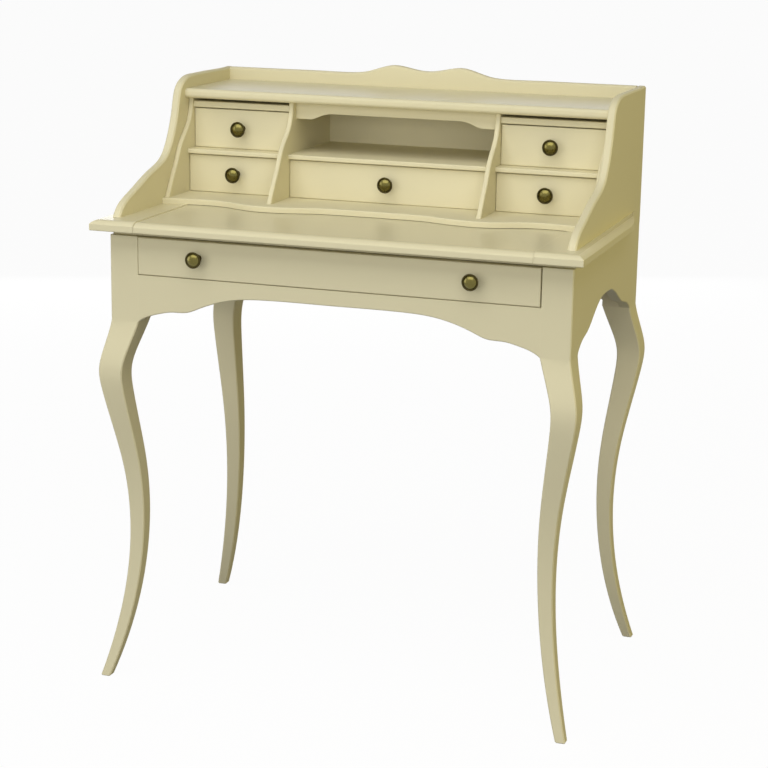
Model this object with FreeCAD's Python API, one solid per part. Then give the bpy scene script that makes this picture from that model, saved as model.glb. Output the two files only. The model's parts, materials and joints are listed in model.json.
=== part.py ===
import FreeCAD, Part
import math
import os

Vector = FreeCAD.Vector

# Bonheur du jour: a lady's writing desk on cabriole legs, with a pull-out writing slide, a frieze drawer and
# a gallery that holds a nest of five small drawers, two letter slots and a pigeonhole.
#
# x runs from the sitter's left to right with 0 in the middle, y runs away from the sitter, z is the height
# above the floor. The origin is the middle of the desk's footprint. Everything is in millimetres.

# --- carcass ---
carcass_width = 760.0
carcass_depth = 474.0
post_size = 48.0
front_apron_height = 77.0
frieze_opening_height = 62.0
front_apron_thickness = 20.0
side_apron_thickness = 18.0
back_apron_thickness = 18.0
apron_arris = 1.2
apron_crown = 0.4

# --- cabriole legs ---
leg_height = 608.0
foot_throw = 20.0
foot_thickness = 16.5
ankle_throw = -18.2
ankle_thickness = 24.0
knee_throw = 16.2
knee_thickness = 41.0
leg_arris = 1.8
foot_arris = 1.5

# --- top and writing slide ---
top_overhang_front = 32.0
top_overhang_side = 21.0
top_thickness = 17.0
nose_setback = 12.0
nose_drop = 6.5
nose_middle_in_share = 0.42
nose_middle_drop_share = 0.35
nose_arris = 1.5
top_end_width = 76.0
rear_rail_width = 40.0
sweep_start = 176.0
sweep_end = 34.0
slide_travel = 230.0
slide_clearance_side = 0.3
slide_clearance_under = 0.3
slide_clearance_over = 0.8
slide_clearance_rear = 4.0
batten_width = 20.0
batten_thickness = 8.0
bearer_thickness = 10.0
bearer_setback = 12.0
bearer_width = 48.0
bearer_side_width = 82.0

# --- gallery ---
gallery_lip = 21.0
scroll_thickness = 14.0
scroll_arris = 2.6
back_board_thickness = 15.0
crest_rise = 15.5
crest_arris = 2.6
shelf_thickness = 16.0
shelf_front = 264.0
shelf_nose = 6.5

# --- nest ---
nest_floor_thickness = 9.5
nest_floor_arris = 2.0
nest_board = 8.0
nest_upright_arris = 1.5
nest_shelf_arris = 2.0
divider_spacing = 358.8
lower_tier_height = 65.0
upper_tier_height = 68.0
tier_shelf_front = 256.0
tier_shelf_thickness = 8.0
letter_board_front = 283.0
letter_board_thickness = 10.5
letter_slot_height = 6.0
valance_front = 292.0
valance_thickness = 8.0
valance_end_drop = 28.0
valance_centre_drop = 17.5

# --- drawers ---
running_clearance = 0.3
frieze_gap_side = 1.3
frieze_gap_over = 1.2
frieze_gap_under = 1.0
frieze_play = 0.9
frieze_front_thickness = 20.0
frieze_side_thickness = 12.0
frieze_side_drop = 12.0
frieze_bottom_thickness = 6.0
frieze_bottom_lift = 8.0
frieze_rear_space = 56.0
frieze_knob_spacing = 452.8
frieze_knob_height = 34.5
runner_height = 12.0
runner_reach = 24.0
runner_guide_height = 25.0
stop_block_size = 10.0
stop_block_height = 5.0
stop_block_width = 30.0
stop_block_spacing = 380.0
nest_gap_side = 0.5
nest_gap_over = 1.8
nest_gap_under = 0.4
nest_drawer_front_thickness = 12.0
nest_drawer_side_thickness = 7.0
nest_drawer_bottom_thickness = 4.0
nest_side_drop = 12.0
nest_knob_rise = 2.0
upper_drawer_setback = 3.0
lower_drawer_setback = 7.0
drawer_front_arris = 1.0

# --- knobs ---
knob_diameter = 26.5
knob_base_diameter = 15.0
knob_base_thickness = 1.6
knob_neck_diameter = 9.0
knob_neck_start = 4.5
knob_neck_end = 12.0
knob_rim_start = 16.5
knob_rim_thickness = 3.0
knob_rim_step = 1.2
knob_dome_rise = 7.5
bolt_diameter = 4.0
bolt_head_diameter = 9.0
bolt_head_thickness = 2.4
bolt_hole_clearance = 0.4

# --- outlines ---
# Leg stations from the floor to the post: share of the leg's height, throw outside the post, thickness.
leg_stations = (
    (0.0, foot_throw, foot_thickness),
    (0.148, -2.0, 20.5),
    (0.362, ankle_throw, ankle_thickness),
    (0.592, -11.8, 30.0),
    (0.806, 12.5, 38.5),
    (0.872, knee_throw, knee_thickness),
    (0.921, 10.9, 43.0),
    (1.0, 0.0, post_size),
)
# Lower edge of an apron from its end to its middle: share of half the apron's length, rise above the leg.
long_apron_wave = (
    (0.0, 0.0), (0.045, 9.0), (0.096, 14.5), (0.175, 20.0), (0.253, 21.5),
    (0.313, 29.0), (0.395, 39.5), (0.53, 49.5), (0.639, 52.0),
)
short_apron_wave = (
    (0.0, 0.0), (0.079, 10.0), (0.19, 17.5), (0.317, 22.5), (0.413, 29.0),
    (0.55, 42.0), (0.698, 54.0), (0.847, 61.0), (0.963, 62.0),
)
# Front edge of a scroll end: distance back from the front of the posts, share of the gallery's height.
scroll_edge = (
    (8.0, 0.0), (22.0, 0.078), (64.0, 0.167), (133.0, 0.284), (170.0, 0.333), (193.0, 0.387),
    (217.0, 0.525), (237.0, 0.74), (252.0, 0.917), (288.0, 0.995), (314.0, 1.0), (366.0, 1.0),
)
# Crest of the back board: distance from the middle, share of the crest's rise.
crest_edge = (
    (0.0, 0.48), (31.0, 0.74), (62.0, 1.0), (88.0, 0.62), (113.0, 0.16), (138.0, 0.0),
    (188.0, 0.0), (258.0, 0.0),
)
# Front edge of the nest's uprights: distance back from the front of the posts, share of their height.
nest_edge = (
    (178.0, 0.0), (187.0, 0.092), (203.0, 0.244), (216.0, 0.359), (225.0, 0.46), (236.0, 0.556),
    (251.0, 0.644), (265.0, 0.733), (273.0, 0.816), (278.0, 0.905), (279.0, 1.0),
)
# Front edge of the nest floor: share of the way from the middle to a scroll end, distance back from the
# front of the posts.
floor_edge = (
    (0.0, 177.0), (0.164, 176.0), (0.268, 172.0), (0.339, 163.0), (0.41, 156.0), (0.486, 153.5),
    (0.563, 157.0), (0.639, 168.0), (0.716, 179.0), (0.798, 182.0), (0.902, 177.0), (1.0, 170.0),
)
# Lower edge of the valance: distance in from its divider, share of the way up to the middle.
valance_edge = ((28.0, 0.0), (36.0, 0.25), (45.0, 0.62), (58.0, 0.94), (72.0, 1.0))

# --- planes that several pieces share ---
front_face = -(carcass_depth + foot_throw - top_overhang_front) / 2
back_face = front_face + carcass_depth
middle_y = (front_face + back_face) / 2
post_outer = carcass_width / 2
post_inner = post_outer - post_size
rail_height = leg_height + front_apron_height
carcass_top = rail_height + frieze_opening_height
top_underside = carcass_top + bearer_thickness
top_surface = top_underside + top_thickness
top_outer = post_outer + top_overhang_side
top_front = front_face - top_overhang_front
top_end_inner = top_outer - top_end_width
scroll_inner = post_outer - scroll_thickness
gallery_back = back_face - back_board_thickness
nest_floor_top = top_surface + nest_floor_thickness
nest_side_inner = scroll_inner - nest_board
divider_outer = (divider_spacing + nest_board) / 2
divider_inner = (divider_spacing - nest_board) / 2
tier_shelf_bottom = nest_floor_top + lower_tier_height
tier_shelf_top = tier_shelf_bottom + tier_shelf_thickness
letter_board_bottom = tier_shelf_top + upper_tier_height
shelf_underside = letter_board_bottom + letter_board_thickness + letter_slot_height
shelf_top = shelf_underside + shelf_thickness
gallery_height = shelf_top + gallery_lip


def box(left, right, front, back, bottom, top):
    """A board between six planes."""
    corner = Vector(left, front, bottom)
    return Part.makeBox(right - left, back - front, top - bottom, corner)


def prism(edges, run):
    """The solid that a closed outline sweeps along a straight run."""
    return Part.Face(Part.Wire(edges)).extrude(run)


def line(start, end):
    """A straight edge."""
    return Part.makeLine(Vector(*start), Vector(*end))


def curve(points):
    """A smooth edge through the points."""
    spline = Part.BSplineCurve()
    spline.interpolate([Vector(*point) for point in points])
    return spline.toShape()


def ogee(start, end, run):
    """An S-shaped edge between two points that leaves and arrives along the same direction."""
    first = Vector(*start)
    last = Vector(*end)
    bow = Part.BezierCurve()
    bow.setPoles([first, first + run, last - run, last])
    return bow.toShape()


def soften(shape, radius, chosen):
    """The shape with a rounded arris on each chosen edge."""
    edges = [edge for edge in shape.Edges if chosen(edge)]
    return shape.makeFillet(radius, edges)


def bevel(shape, size, chosen):
    """The shape with a flat arris on each chosen edge."""
    edges = [edge for edge in shape.Edges if chosen(edge)]
    return shape.makeChamfer(size, edges)


def lies_at(edge, axis, place):
    """Whether the whole edge lies in the plane where that coordinate has that value."""
    limits = edge.BoundBox
    low = (limits.XMin, limits.YMin, limits.ZMin)[axis]
    high = (limits.XMax, limits.YMax, limits.ZMax)[axis]
    return abs(low - place) < 0.01 and abs(high - place) < 0.01


def mirror_x(shape):
    """The same piece on the other side of the desk."""
    return shape.mirror(Vector(0, 0, 0), Vector(1, 0, 0))


def mirror_y(shape):
    """The same piece at the other end of the carcass's depth."""
    return shape.mirror(Vector(0, middle_y, 0), Vector(0, 1, 0))


def save(name, shape):
    """Write one piece to its own file."""
    shape.exportStep(f"parts/{name}.step")


def save_pair(name, right_piece):
    """Write a right-hand piece and its mirror image."""
    save(f"{name}_right", right_piece)
    save(f"{name}_left", mirror_x(right_piece))


# --- legs ---

def front_post():
    """The square post at the head of the right front leg."""
    return box(post_inner, post_outer, front_face, front_face + post_size, leg_height, carcass_top)


def leg_template(place, run):
    """The leg's outline, cut straight through; place turns (throw, height) into a point."""
    outer = [place(throw, share * leg_height) for share, throw, size in leg_stations]
    inner = [place(throw - size, share * leg_height) for share, throw, size in leg_stations]
    edges = [curve(outer), line(outer[-1], inner[-1]), curve(inner[::-1]), line(inner[0], outer[0])]
    return prism(edges, run)


def make_leg():
    """Right front leg: a square cabriole, cut with one template from two sides, that grows into its post."""
    blank = 2 * post_size
    from_front = leg_template(
        lambda throw, z: (post_outer + throw, front_face - blank, z), Vector(0, 2 * blank, 0))
    from_side = leg_template(
        lambda throw, z: (post_outer - blank, front_face - throw, z), Vector(2 * blank, 0, 0))
    limb = from_front.common(from_side)
    limb = bevel(limb, leg_arris, lambda edge: edge.BoundBox.ZLength > leg_height / 2)
    limb = bevel(limb, foot_arris, lambda edge: lies_at(edge, 2, 0.0))
    post = bevel(front_post(), leg_arris, lambda edge: lies_at(edge, 0, post_outer)
                 and lies_at(edge, 1, front_face))
    return limb.fuse(post)


# --- aprons ---

def make_apron(length, thickness, top, wave):
    """Apron along x with its outer face at y = 0 and its middle at x = 0."""
    end = length / 2
    left_wave = [(end * (share - 1), 0, leg_height + rise) for share, rise in wave]
    right_wave = [(-x, y, z) for x, y, z in reversed(left_wave)]
    edges = [
        curve(left_wave + [(0, 0, left_wave[-1][2] + apron_crown)] + right_wave),
        line((end, 0, leg_height), (end, 0, top)),
        line((end, 0, top), (-end, 0, top)),
        line((-end, 0, top), (-end, 0, leg_height)),
    ]
    apron = prism(edges, Vector(0, thickness, 0))
    return bevel(apron, apron_arris, lambda edge: lies_at(edge, 1, 0.0) and edge.BoundBox.XLength > 1
                 and edge.BoundBox.ZMin < leg_height + 1)


def make_front_apron():
    apron = make_apron(2 * post_inner, front_apron_thickness, rail_height, long_apron_wave)
    apron.translate(Vector(0, front_face, 0))
    return apron


def make_back_apron():
    apron = make_apron(2 * post_inner, back_apron_thickness, carcass_top, long_apron_wave)
    apron.rotate(Vector(0, 0, 0), Vector(0, 0, 1), 180)
    apron.translate(Vector(0, back_face, 0))
    return apron


def make_side_apron():
    apron = make_apron(carcass_depth - 2 * post_size, side_apron_thickness, carcass_top, short_apron_wave)
    apron.rotate(Vector(0, 0, 0), Vector(0, 0, 1), 90)
    apron.translate(Vector(post_outer, middle_y, 0))
    return apron


# --- bearers, runners and stops inside the carcass ---

def make_bearers():
    """Frame on the posts that carries the top, set back in front: its front, rear and right side."""
    outer = post_outer
    front = front_face + bearer_setback
    front_back = front + bearer_width
    rear_front = back_face - bearer_width
    front_bearer = box(-outer, outer, front, front_back, carcass_top, top_underside)
    rear_bearer = box(-outer, outer, rear_front, back_face, carcass_top, top_underside)
    side_bearer = box(outer - bearer_side_width, outer, front_back, rear_front, carcass_top, top_underside)
    return front_bearer, rear_bearer, side_bearer


def make_runner():
    """Right runner: the drawer's side slides on its foot and is guided by its wall."""
    outer = post_outer - side_apron_thickness
    front = front_face + front_apron_thickness
    back = back_face - back_apron_thickness
    foot_inner = post_inner - runner_reach
    foot_bottom = rail_height - runner_height
    guide_top = rail_height + runner_guide_height
    profile = (
        (foot_inner, foot_bottom), (outer, foot_bottom), (outer, guide_top),
        (post_inner, guide_top), (post_inner, rail_height), (foot_inner, rail_height),
    )
    corners = [Vector(x, front, z) for x, z in profile]
    outline = Part.makePolygon(corners + corners[:1])
    runner = Part.Face(outline).extrude(Vector(0, back - front, 0))
    return runner.cut(front_post()).cut(mirror_y(front_post()))


def make_drawer_stops():
    """Two blocks on the front apron that the closed frieze drawer's front rests against."""
    front = front_face + frieze_front_thickness + running_clearance
    back = front + stop_block_size
    top = rail_height + stop_block_height
    foot = box(-stop_block_width / 2, stop_block_width / 2, front, back, rail_height, top)
    right = foot.copy()
    right.translate(Vector(stop_block_spacing / 2, 0, 0))
    return Part.makeCompound([mirror_x(right), right])


# --- top ---

def nose_outline(outer, inner, top, bottom, place):
    """Outline from a plain inner edge to the moulded nose; place turns (reach, height) into a point."""
    lower = nose_arris
    soft = lower * (1 - 0.5 ** 0.5)
    nose_start = (outer - nose_setback, top)
    nose_middle = (outer - nose_setback * nose_middle_in_share, top - nose_drop * nose_middle_drop_share)
    nose_end = (outer, top - nose_drop)
    points = [Vector(*place(*point)) for point in (nose_start, nose_middle, nose_end)]
    under = [(outer, bottom + lower), (outer - soft, bottom + soft), (outer - lower, bottom)]
    under_points = [Vector(*place(*point)) for point in under]
    low_corner = Vector(*place(inner, bottom))
    high_corner = Vector(*place(inner, top))
    return [
        Part.Arc(*points).toShape(),
        Part.makeLine(points[2], under_points[0]),
        Part.Arc(*under_points).toShape(),
        Part.makeLine(under_points[2], low_corner),
        Part.makeLine(low_corner, high_corner),
        Part.makeLine(high_corner, points[0]),
    ]


def front_nose_prism(left, right, back, bottom, top):
    """Board whose front edge is moulded."""
    reach = -top_front
    edges = nose_outline(reach, -back, top, bottom, lambda out, height: (left, -out, height))
    return prism(edges, Vector(right - left, 0, 0))


def make_top_end():
    """Right fixed end of the top, drawn in to the carcass towards the back."""
    bottom = top_underside
    top = top_surface
    front_part = front_nose_prism(top_end_inner, top_outer, back_face, bottom, top)
    edges = nose_outline(top_outer, top_end_inner, top, bottom, lambda out, height: (out, top_front, height))
    side_part = prism(edges, Vector(0, back_face - top_front, 0))
    end = front_part.common(side_part)
    start_y = back_face - sweep_start
    end_y = back_face - sweep_end
    run = Vector(0, (end_y - start_y) / 2, 0)
    sweep = ogee((top_outer, start_y, bottom), (post_outer, end_y, bottom), run)
    outside = top_outer + top_overhang_side
    waste = prism(
        [
            sweep,
            line((post_outer, end_y, bottom), (post_outer, back_face, bottom)),
            line((post_outer, back_face, bottom), (outside, back_face, bottom)),
            line((outside, back_face, bottom), (outside, start_y, bottom)),
            line((outside, start_y, bottom), (top_outer, start_y, bottom)),
        ],
        Vector(0, 0, top - bottom),
    )
    return end.cut(waste)


def make_rear_top_rail():
    front = back_face - rear_rail_width
    return box(-top_end_inner, top_end_inner, front, back_face, top_underside, top_surface)


def make_writing_slide():
    """Pull-out writing surface between the fixed ends."""
    side = top_end_inner - slide_clearance_side
    back = back_face - rear_rail_width - slide_clearance_rear
    bottom = top_underside + slide_clearance_under
    top = top_surface - slide_clearance_over
    return front_nose_prism(-side, side, back, bottom, top)


def make_slide_batten():
    """Batten under the writing slide that meets the front bearer when the slide is out."""
    side = post_outer - bearer_side_width - running_clearance
    front = front_face + bearer_setback + bearer_width + slide_travel + running_clearance
    top = top_underside + slide_clearance_under
    return box(-side, side, front, front + batten_width, top - batten_thickness, top)


# --- gallery ---

def make_scroll_end():
    """Right scroll end: an S-shaped board that stands on the fixed top end."""
    rise = gallery_height - top_surface
    edge = [(scroll_inner, front_face + back, top_surface + rise * share) for back, share in scroll_edge]
    foot = (scroll_inner, back_face, top_surface)
    head = (scroll_inner, back_face, edge[-1][2])
    edges = [curve(edge + [head]), line(head, foot), line(foot, edge[0])]
    board = prism(edges, Vector(scroll_thickness, 0, 0))

    def shaped(arris):
        on_face = lies_at(arris, 0, scroll_inner) or lies_at(arris, 0, post_outer)
        return on_face and not lies_at(arris, 2, top_surface) and not lies_at(arris, 1, back_face)

    return bevel(board, scroll_arris, shaped)


def make_back_board():
    """Back board of the gallery with two peaks and a dip in its crest."""
    right = [(reach, gallery_back, gallery_height + crest_rise * share) for reach, share in crest_edge]
    right.append((scroll_inner, gallery_back, gallery_height))
    left = [(-x, y, z) for x, y, z in reversed(right[1:])]
    low = top_surface
    edges = [
        curve(left + right),
        line((scroll_inner, gallery_back, gallery_height), (scroll_inner, gallery_back, low)),
        line((scroll_inner, gallery_back, low), (-scroll_inner, gallery_back, low)),
        line((-scroll_inner, gallery_back, low), (-scroll_inner, gallery_back, gallery_height)),
    ]
    board = prism(edges, Vector(0, back_board_thickness, 0))
    return bevel(board, crest_arris, lambda arris: arris.BoundBox.ZMin > gallery_height - 1
                 and arris.BoundBox.XLength > 1)


def make_gallery_shelf():
    front = front_face + shelf_front
    shelf = box(-scroll_inner, scroll_inner, front, gallery_back, shelf_underside, shelf_top)
    return soften(shelf, shelf_nose, lambda edge: lies_at(edge, 1, front) and edge.BoundBox.XLength > 1)


# --- nest ---

def make_nest_floor():
    """Thin board with a serpentine front edge that passes over the writing slide."""
    right = [(scroll_inner * share, front_face + back, top_surface) for share, back in floor_edge]
    left = [(-x, y, z) for x, y, z in reversed(right[1:])]
    start = left[0]
    end = right[-1]
    edges = [
        curve(left + right),
        line(end, (scroll_inner, gallery_back, top_surface)),
        line((scroll_inner, gallery_back, top_surface), (-scroll_inner, gallery_back, top_surface)),
        line((-scroll_inner, gallery_back, top_surface), start),
    ]
    board = prism(edges, Vector(0, 0, nest_floor_thickness))
    return bevel(board, nest_floor_arris, lambda edge: lies_at(edge, 2, nest_floor_top)
                 and edge.BoundBox.YMax < middle_y and edge.BoundBox.XLength > 1)


def make_nest_upright(left):
    """Upright board of the nest with an S-shaped front edge."""
    height = shelf_underside - nest_floor_top
    edge = [(left, front_face + back, nest_floor_top + height * share) for back, share in nest_edge]
    foot = (left, gallery_back, nest_floor_top)
    head = (left, gallery_back, shelf_underside)
    edges = [curve(edge), line(edge[-1], head), line(head, foot), line(foot, edge[0])]
    board = prism(edges, Vector(nest_board, 0, 0))

    def shaped(arris):
        on_face = lies_at(arris, 0, left) or lies_at(arris, 0, left + nest_board)
        return on_face and arris.BoundBox.ZLength > 1 and not lies_at(arris, 1, gallery_back)

    return bevel(board, nest_upright_arris, shaped)


def make_nest_shelf(left, right, bottom, thickness, front):
    """Horizontal board of the nest with a rounded front edge."""
    shelf = box(left, right, front, gallery_back, bottom, bottom + thickness)
    return soften(shelf, nest_shelf_arris, lambda edge: lies_at(edge, 1, front) and edge.BoundBox.XLength > 1)


def make_valance():
    """Shaped board across the top of the pigeonhole."""
    front = front_face + valance_front
    top = shelf_underside
    low = top - valance_end_drop
    high = top - valance_centre_drop
    step = divider_inner
    left_wave = [(reach - step, front, low + (high - low) * share) for reach, share in valance_edge]
    right_wave = [(-x, y, z) for x, y, z in reversed(left_wave)]
    edges = [
        line((-step, front, low), left_wave[0]),
        curve(left_wave),
        line(left_wave[-1], right_wave[0]),
        curve(right_wave),
        line(right_wave[-1], (step, front, low)),
        line((step, front, low), (step, front, top)),
        line((step, front, top), (-step, front, top)),
        line((-step, front, top), (-step, front, low)),
    ]
    return prism(edges, Vector(0, valance_thickness, 0))


# --- drawers ---

def knob_profile():
    """Half section of a knob, from the middle of its base round to the tip of its dome."""
    base = knob_base_diameter / 2
    neck = knob_neck_diameter / 2
    head = knob_diameter / 2
    rim_front = knob_rim_start + knob_rim_thickness
    tip = rim_front + knob_dome_rise
    dome_edge = head - knob_rim_step
    dome_radius = (dome_edge ** 2 + knob_dome_rise ** 2) / (2 * knob_dome_rise)
    half_turn = math.atan2(dome_edge, dome_radius - knob_dome_rise) / 2
    dome_middle = Vector(dome_radius * math.sin(half_turn), dome_radius * (1 - math.cos(half_turn)) - tip, 0)
    corners = [
        (0, 0, 0), (base, 0, 0), (base, -knob_base_thickness, 0),
        (neck, -knob_neck_start, 0), (neck, -knob_neck_end, 0),
        (head, -knob_rim_start, 0), (head, -rim_front, 0), (dome_edge, -rim_front, 0),
    ]
    edges = [line(start, end) for start, end in zip(corners, corners[1:])]
    edges.append(Part.Arc(Vector(*corners[-1]), dome_middle, Vector(0, -tip, 0)).toShape())
    edges.append(line((0, -tip, 0), corners[0]))
    return edges


def make_knob(x, front, z, front_thickness):
    """Turned knob on a drawer front, and the bolt that holds it from inside the drawer."""
    along = Vector(0, 1, 0)
    start = Vector(0, 0, 0)
    back = Vector(0, front_thickness, 0)
    knob = Part.Face(Part.Wire(knob_profile())).revolve(start, along, 360)
    shank = Part.makeCylinder(bolt_diameter / 2, front_thickness, start, along)
    bolt_head = Part.makeCylinder(bolt_head_diameter / 2, bolt_head_thickness, back, along)
    bolt = shank.fuse(bolt_head)
    for piece in (knob, bolt):
        piece.translate(Vector(x, front, z))
    return [knob, bolt]


def make_drawer_front(left, right, front, thickness, bottom, top, knob_places, knob_z):
    """Drawer front with eased front edges and a bolt hole for each knob."""
    board = box(left, right, front, front + thickness, bottom, top)
    board = bevel(board, drawer_front_arris, lambda edge: lies_at(edge, 1, front))
    radius = (bolt_diameter + bolt_hole_clearance) / 2
    for x in knob_places:
        hole = Part.makeCylinder(radius, thickness, Vector(x, front, knob_z), Vector(0, 1, 0))
        board = board.cut(hole)
    return board


def make_frieze_box(side):
    """The four boards behind the front of the frieze drawer, each with its name."""
    front = front_face + frieze_front_thickness
    back = back_face - back_apron_thickness - frieze_rear_space
    bottom = rail_height + running_clearance
    top = carcass_top - frieze_side_drop
    inner = side - frieze_side_thickness
    back_front = back - frieze_side_thickness
    panel_bottom = bottom + frieze_bottom_lift
    panel_top = panel_bottom + frieze_bottom_thickness
    right_side = box(inner, side, front, back, bottom, top)
    return {
        "side_right": right_side,
        "side_left": mirror_x(right_side),
        "bottom": box(-inner, inner, front, back, panel_bottom, panel_top),
        "back": box(-inner, inner, back_front, back, panel_top, top),
    }


def save_frieze_drawer():
    """The wide drawer under the writing slide, which its play lets sit left of its opening's middle."""
    side = post_inner - frieze_gap_side
    bottom = rail_height + frieze_gap_under
    top = carcass_top - frieze_gap_over
    knob_x = frieze_knob_spacing / 2
    knob_z = rail_height + frieze_knob_height
    thickness = frieze_front_thickness
    pieces = make_frieze_box(side)
    pieces["front"] = make_drawer_front(
        -side, side, front_face, thickness, bottom, top, (-knob_x, knob_x), knob_z)
    right_knob = make_knob(knob_x, front_face, knob_z, thickness)
    left_knob = make_knob(-knob_x, front_face, knob_z, thickness)
    pieces["knobs"] = Part.makeCompound(right_knob + left_knob)
    for name, piece in pieces.items():
        piece.translate(Vector(-frieze_play, 0, 0))
        save(f"frieze_drawer_{name}", piece)


def save_nest_drawer(name, left, right, floor, ceiling, front):
    """A small drawer of the nest: its front, its tray of four boards and its knob."""
    low = floor + nest_gap_under
    high = ceiling - nest_gap_over
    inner_left = left + nest_gap_side
    inner_right = right - nest_gap_side
    knob_x = (left + right) / 2
    knob_z = (low + high) / 2 + nest_knob_rise
    thickness = nest_drawer_front_thickness
    wood = nest_drawer_side_thickness
    panel = make_drawer_front(inner_left, inner_right, front, thickness, low, high, (knob_x,), knob_z)
    tray_front = front + thickness
    tray_back = gallery_back - running_clearance
    tray_low = floor + running_clearance
    tray_high = high - nest_side_drop
    bottom_top = tray_low + nest_drawer_bottom_thickness
    tray = Part.makeCompound([
        box(inner_left, inner_left + wood, tray_front, tray_back, tray_low, tray_high),
        box(inner_right - wood, inner_right, tray_front, tray_back, tray_low, tray_high),
        box(inner_left + wood, inner_right - wood, tray_front, tray_back, tray_low, bottom_top),
        box(inner_left + wood, inner_right - wood, tray_back - wood, tray_back, bottom_top, tray_high),
    ])
    save(f"{name}_drawer_front", panel)
    save(f"{name}_drawer_tray", tray)
    save(f"{name}_drawer_knob", Part.makeCompound(make_knob(knob_x, front, knob_z, thickness)))


# --- the whole desk ---

def save_stand():
    leg = make_leg()
    save("leg_front_right", leg)
    save("leg_front_left", mirror_x(leg))
    save("leg_rear_right", mirror_y(leg))
    save("leg_rear_left", mirror_x(mirror_y(leg)))
    save("front_apron", make_front_apron())
    save("back_apron", make_back_apron())
    save_pair("side_apron", make_side_apron())
    front_bearer, rear_bearer, side_bearer = make_bearers()
    save("front_bearer", front_bearer)
    save("rear_bearer", rear_bearer)
    save_pair("side_bearer", side_bearer)
    save_pair("drawer_runner", make_runner())
    save("drawer_stops", make_drawer_stops())


def save_top():
    save_pair("top_end", make_top_end())
    save("rear_top_rail", make_rear_top_rail())
    save("writing_slide", make_writing_slide())
    save("slide_batten", make_slide_batten())


def save_gallery():
    save_pair("scroll_end", make_scroll_end())
    save("gallery_back", make_back_board())
    save("gallery_shelf", make_gallery_shelf())


def save_nest():
    tier_front = front_face + tier_shelf_front
    letter_front = front_face + letter_board_front
    save("nest_floor", make_nest_floor())
    save_pair("nest_side", make_nest_upright(nest_side_inner))
    save_pair("nest_divider", make_nest_upright(divider_inner))
    save_pair("mid_shelf", make_nest_shelf(
        divider_outer, nest_side_inner, tier_shelf_bottom, tier_shelf_thickness, tier_front))
    save("centre_shelf", make_nest_shelf(
        -divider_inner, divider_inner, tier_shelf_bottom, tier_shelf_thickness, tier_front))
    save_pair("letter_board", make_nest_shelf(
        divider_outer, nest_side_inner, letter_board_bottom, letter_board_thickness, letter_front))
    save("valance", make_valance())


def save_nest_drawers():
    lower_front = front_face + tier_shelf_front + lower_drawer_setback
    upper_front = front_face + letter_board_front + upper_drawer_setback
    for side, left, right in (
        ("left", -nest_side_inner, -divider_outer),
        ("right", divider_outer, nest_side_inner),
    ):
        save_nest_drawer(f"lower_{side}", left, right, nest_floor_top, tier_shelf_bottom, lower_front)
        save_nest_drawer(f"upper_{side}", left, right, tier_shelf_top, letter_board_bottom, upper_front)
    save_nest_drawer("centre", -divider_inner, divider_inner, nest_floor_top, tier_shelf_bottom, lower_front)


os.makedirs("parts", exist_ok=True)
save_stand()
save_top()
save_gallery()
save_nest()
save_frieze_drawer()
save_nest_drawers()
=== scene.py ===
"""Ladies' writing desk: softened boards, turned knobs, painted finish and a plain studio."""
from collections import Counter
import json
import math

import bmesh
import bpy
from bpy.props import FloatProperty, FloatVectorProperty, IntProperty, PointerProperty
from mathutils import Matrix, Vector


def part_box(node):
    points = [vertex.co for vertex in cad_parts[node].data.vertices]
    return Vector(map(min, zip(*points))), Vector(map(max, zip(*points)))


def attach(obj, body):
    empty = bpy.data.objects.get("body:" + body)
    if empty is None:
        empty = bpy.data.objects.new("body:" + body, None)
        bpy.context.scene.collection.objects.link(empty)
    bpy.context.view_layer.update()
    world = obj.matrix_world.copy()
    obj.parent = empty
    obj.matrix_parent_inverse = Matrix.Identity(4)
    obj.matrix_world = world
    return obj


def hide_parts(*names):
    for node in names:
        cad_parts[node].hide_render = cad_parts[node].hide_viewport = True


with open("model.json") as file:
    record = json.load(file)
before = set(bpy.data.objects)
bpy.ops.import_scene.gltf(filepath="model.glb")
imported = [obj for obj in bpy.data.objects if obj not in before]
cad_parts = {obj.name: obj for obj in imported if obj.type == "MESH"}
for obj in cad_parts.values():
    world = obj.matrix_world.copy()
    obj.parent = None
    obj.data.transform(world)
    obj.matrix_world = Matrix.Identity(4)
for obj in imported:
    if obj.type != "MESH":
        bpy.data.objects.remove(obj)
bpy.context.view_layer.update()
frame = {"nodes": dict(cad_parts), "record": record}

bl_info = {
    "name": "Ladies' Writing Desk",
    "version": (1, 0, 0),
    "blender": (4, 5, 0),
    "location": "View3D > Sidebar > Desk",
    "description": "Softens, paints and lights a packed writing desk",
    "category": "Object",
}

MM = 0.001
NODES = frame["nodes"]
BODY_OF = {node: body for body, nodes in frame["record"]["behaviour"]["bodies"].items() for node in nodes}
NEST_DRAWERS = ("lower_left", "lower_right", "upper_left", "upper_right", "centre")
BOX_WOODS = ("box_wood_along_x", "box_wood_along_y", "box_wood_along_z")

# Corners nearer than this are one corner, and faces that turn less than this are one flat face.
SEAM = 0.005 * MM
FLAT_TURN = 0.05

# Turns of an edge, in degrees, that are rounded over: the 45 degree arrises alone, or the square edges too.
CUT_ARRIS = (28.0, 62.0)
ANY_ARRIS = (28.0, 100.0)

# Edges that turn further than this, in degrees, stay crisp in the shading.
BOARD_CRISP_TURN = 38.0
KNOB_CRISP_TURN = 50.0

# A face of the top whose normal rises less than this belongs to the moulding and not to the polished flat.
POLISHED_RISE = 0.985

# The knobs: how far each stands out, how far its dome stays inside the rim, and the height of a bolt's head.
KNOB_DEPTH = 27.0 * MM
DOME_INSET = 2.8 * MM
BOLT_HEAD_HEIGHT = 2.4 * MM


# --- settings a user would change ---

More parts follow.
